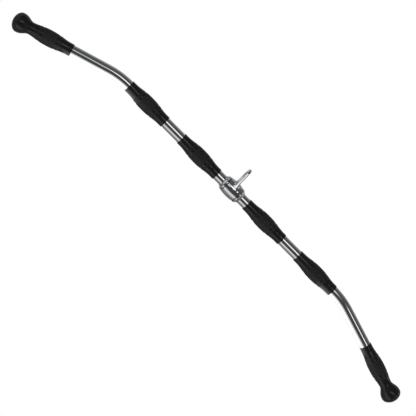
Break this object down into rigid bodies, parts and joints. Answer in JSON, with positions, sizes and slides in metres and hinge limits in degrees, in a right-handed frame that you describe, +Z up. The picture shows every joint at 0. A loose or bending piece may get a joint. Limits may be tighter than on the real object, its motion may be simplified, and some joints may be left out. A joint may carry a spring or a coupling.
{
  "type": "lat pulldown bar",
  "caption": "Wide bent pulldown bar with moulded swelling grips and knobbed ends, turning in a central hanger with a cable eye.",
  "frame": {"origin": "centre of the hole in the hanger's eye plate, by which the bar hangs from the cable", "axes": "+Z up towards the cable, +X along the bar's straight middle towards its right end, +Y away from the viewer of the picture; the bar's ends bend down"},
  "size_m": [1.2194, 0.046, 0.1557],
  "materials": {
    "bar_chrome": "bright chrome plate on drawn bar, with faint lengthwise polishing marks",
    "hanger_chrome": "bright chrome plate on a polished casting",
    "collar_chrome": "bright chrome plate on turned steel",
    "grip_rubber": "black moulded rubber, finely checkered on the swollen middle and smooth satin on the ends and knobs",
    "washer_nylon": "black bearing nylon",
    "bush_bronze": "oiled sintered bronze",
    "screw_steel": "blackened screw steel"
  },
  "bodies": {
    "hanger": {"hanger": "hanger_chrome", "bush_left": "bush_bronze", "bush_right": "bush_bronze", "thrust_washer_left": "washer_nylon", "thrust_washer_right": "washer_nylon"},
    "bar": {"bar": "bar_chrome", "collar_left": "collar_chrome", "collar_right": "collar_chrome", "set_screw_left": "screw_steel", "set_screw_right": "screw_steel", "grip_inner_left": "grip_rubber", "grip_inner_right": "grip_rubber", "grip_outer_left": "grip_rubber", "grip_outer_right": "grip_rubber", "end_grip_left": "grip_rubber", "end_grip_right": "grip_rubber"}
  },
  "joints": [
    {"name": "bar_rotation", "type": "hinge", "parent": "hanger", "child": "bar", "pos_m": [0, 0, -0.0453], "axis": [1, 0, 0], "continuous": true}
  ]
}
